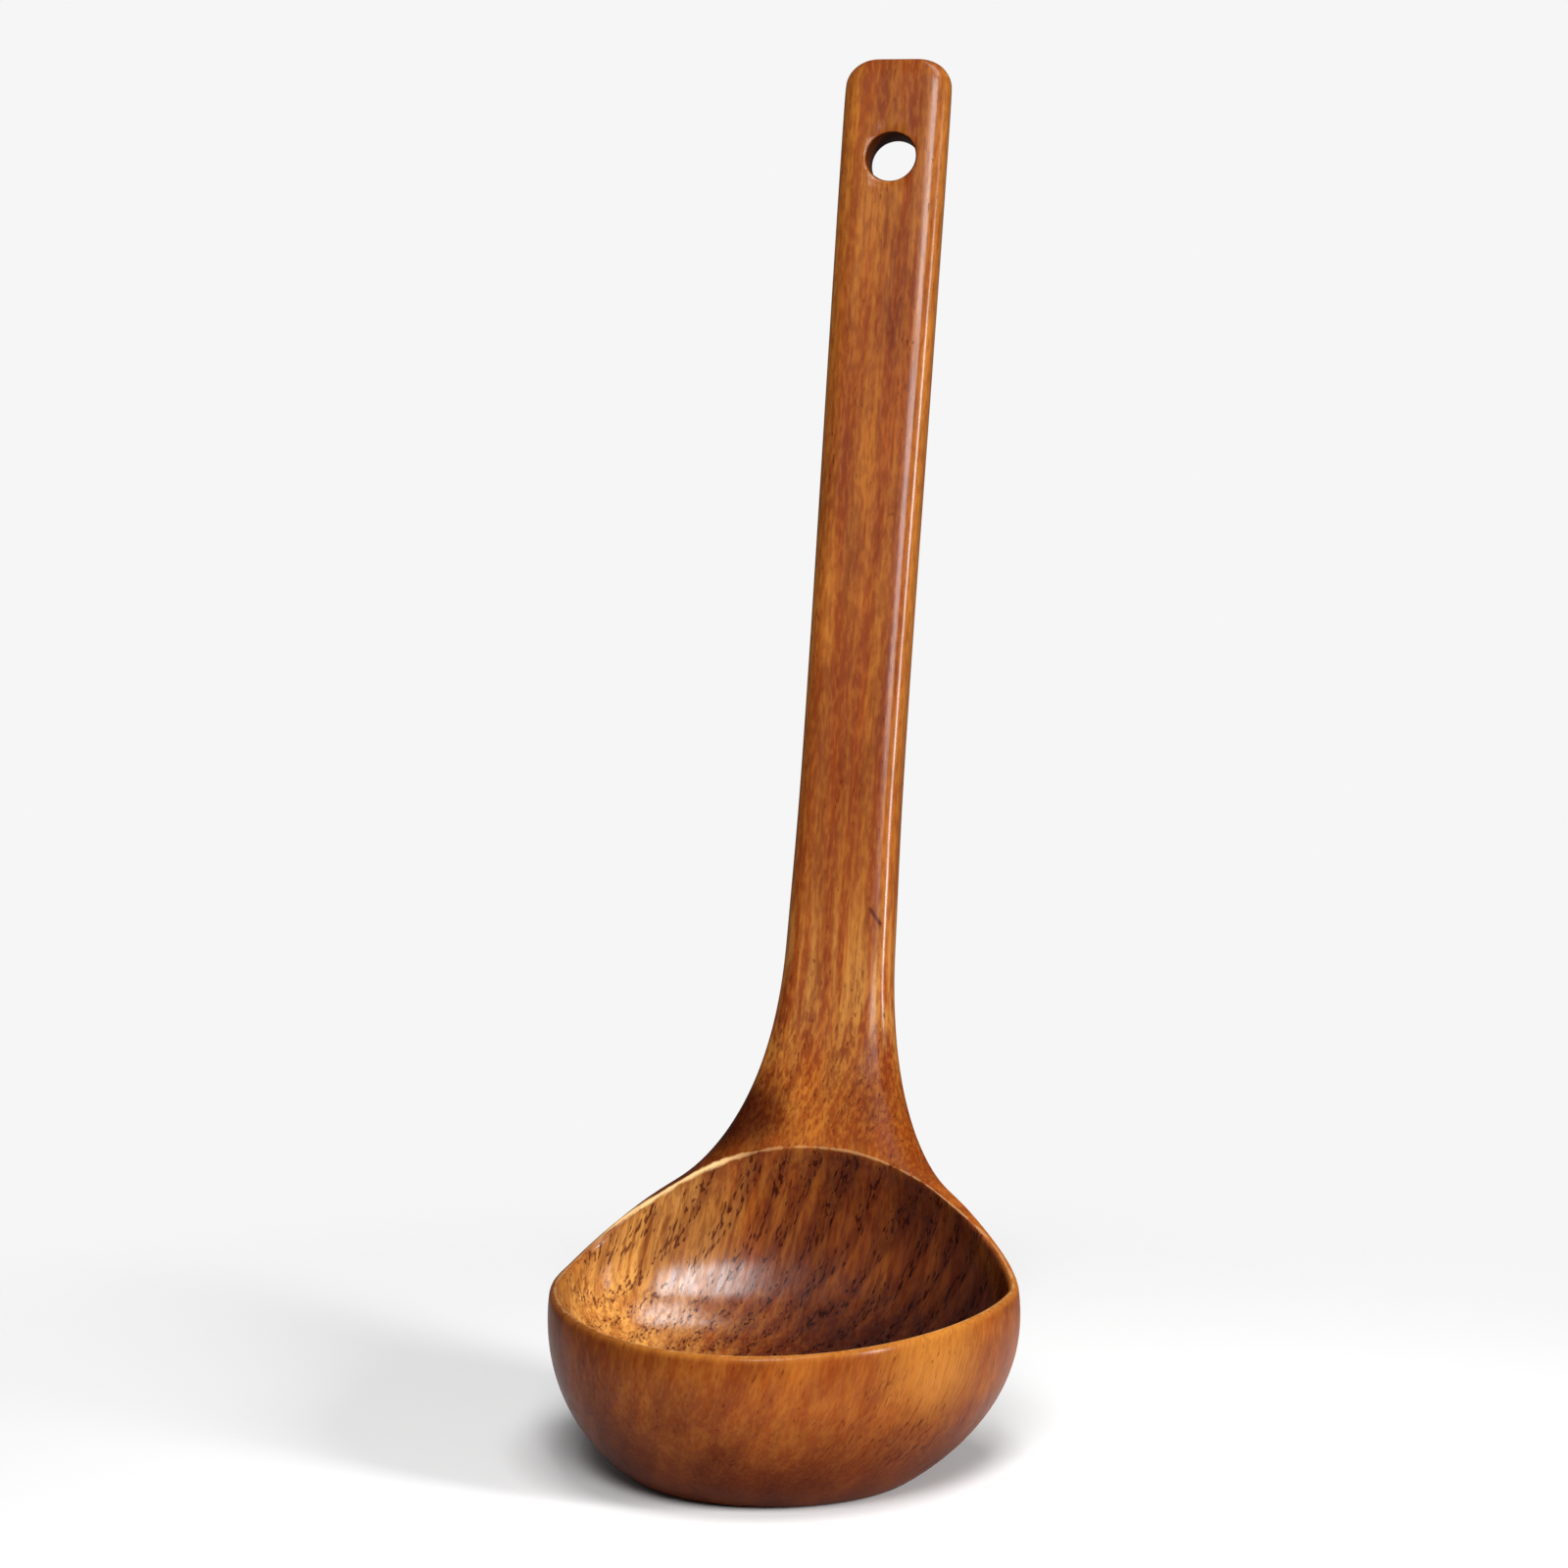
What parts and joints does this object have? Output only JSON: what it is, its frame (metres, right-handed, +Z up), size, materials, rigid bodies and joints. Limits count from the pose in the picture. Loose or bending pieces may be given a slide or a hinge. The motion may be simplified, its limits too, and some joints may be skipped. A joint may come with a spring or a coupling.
{
  "type": "wooden soup ladle",
  "caption": "Wooden soup ladle with a deep oval bowl on a flat foot, a flared neck and a flat leaning handle with a hanging hole.",
  "frame": {"origin": "centre of the flat foot, on the surface that the ladle stands on", "axes": "+Z up, the front lip of the bowl towards -Y, the handle towards +Y; the ladle is the same on both sides of X = 0"},
  "size_m": [0.0806, 0.1409, 0.2397],
  "materials": {
    "bowl_wood": "clear gloss lacquer over stained hardwood",
    "neck_wood": "clear gloss lacquer over stained hardwood",
    "handle_wood": "clear gloss lacquer over stained hardwood"
  },
  "bodies": {
    "root": {"bowl": "bowl_wood", "neck": "neck_wood", "handle": "handle_wood"}
  },
  "joints": []
}
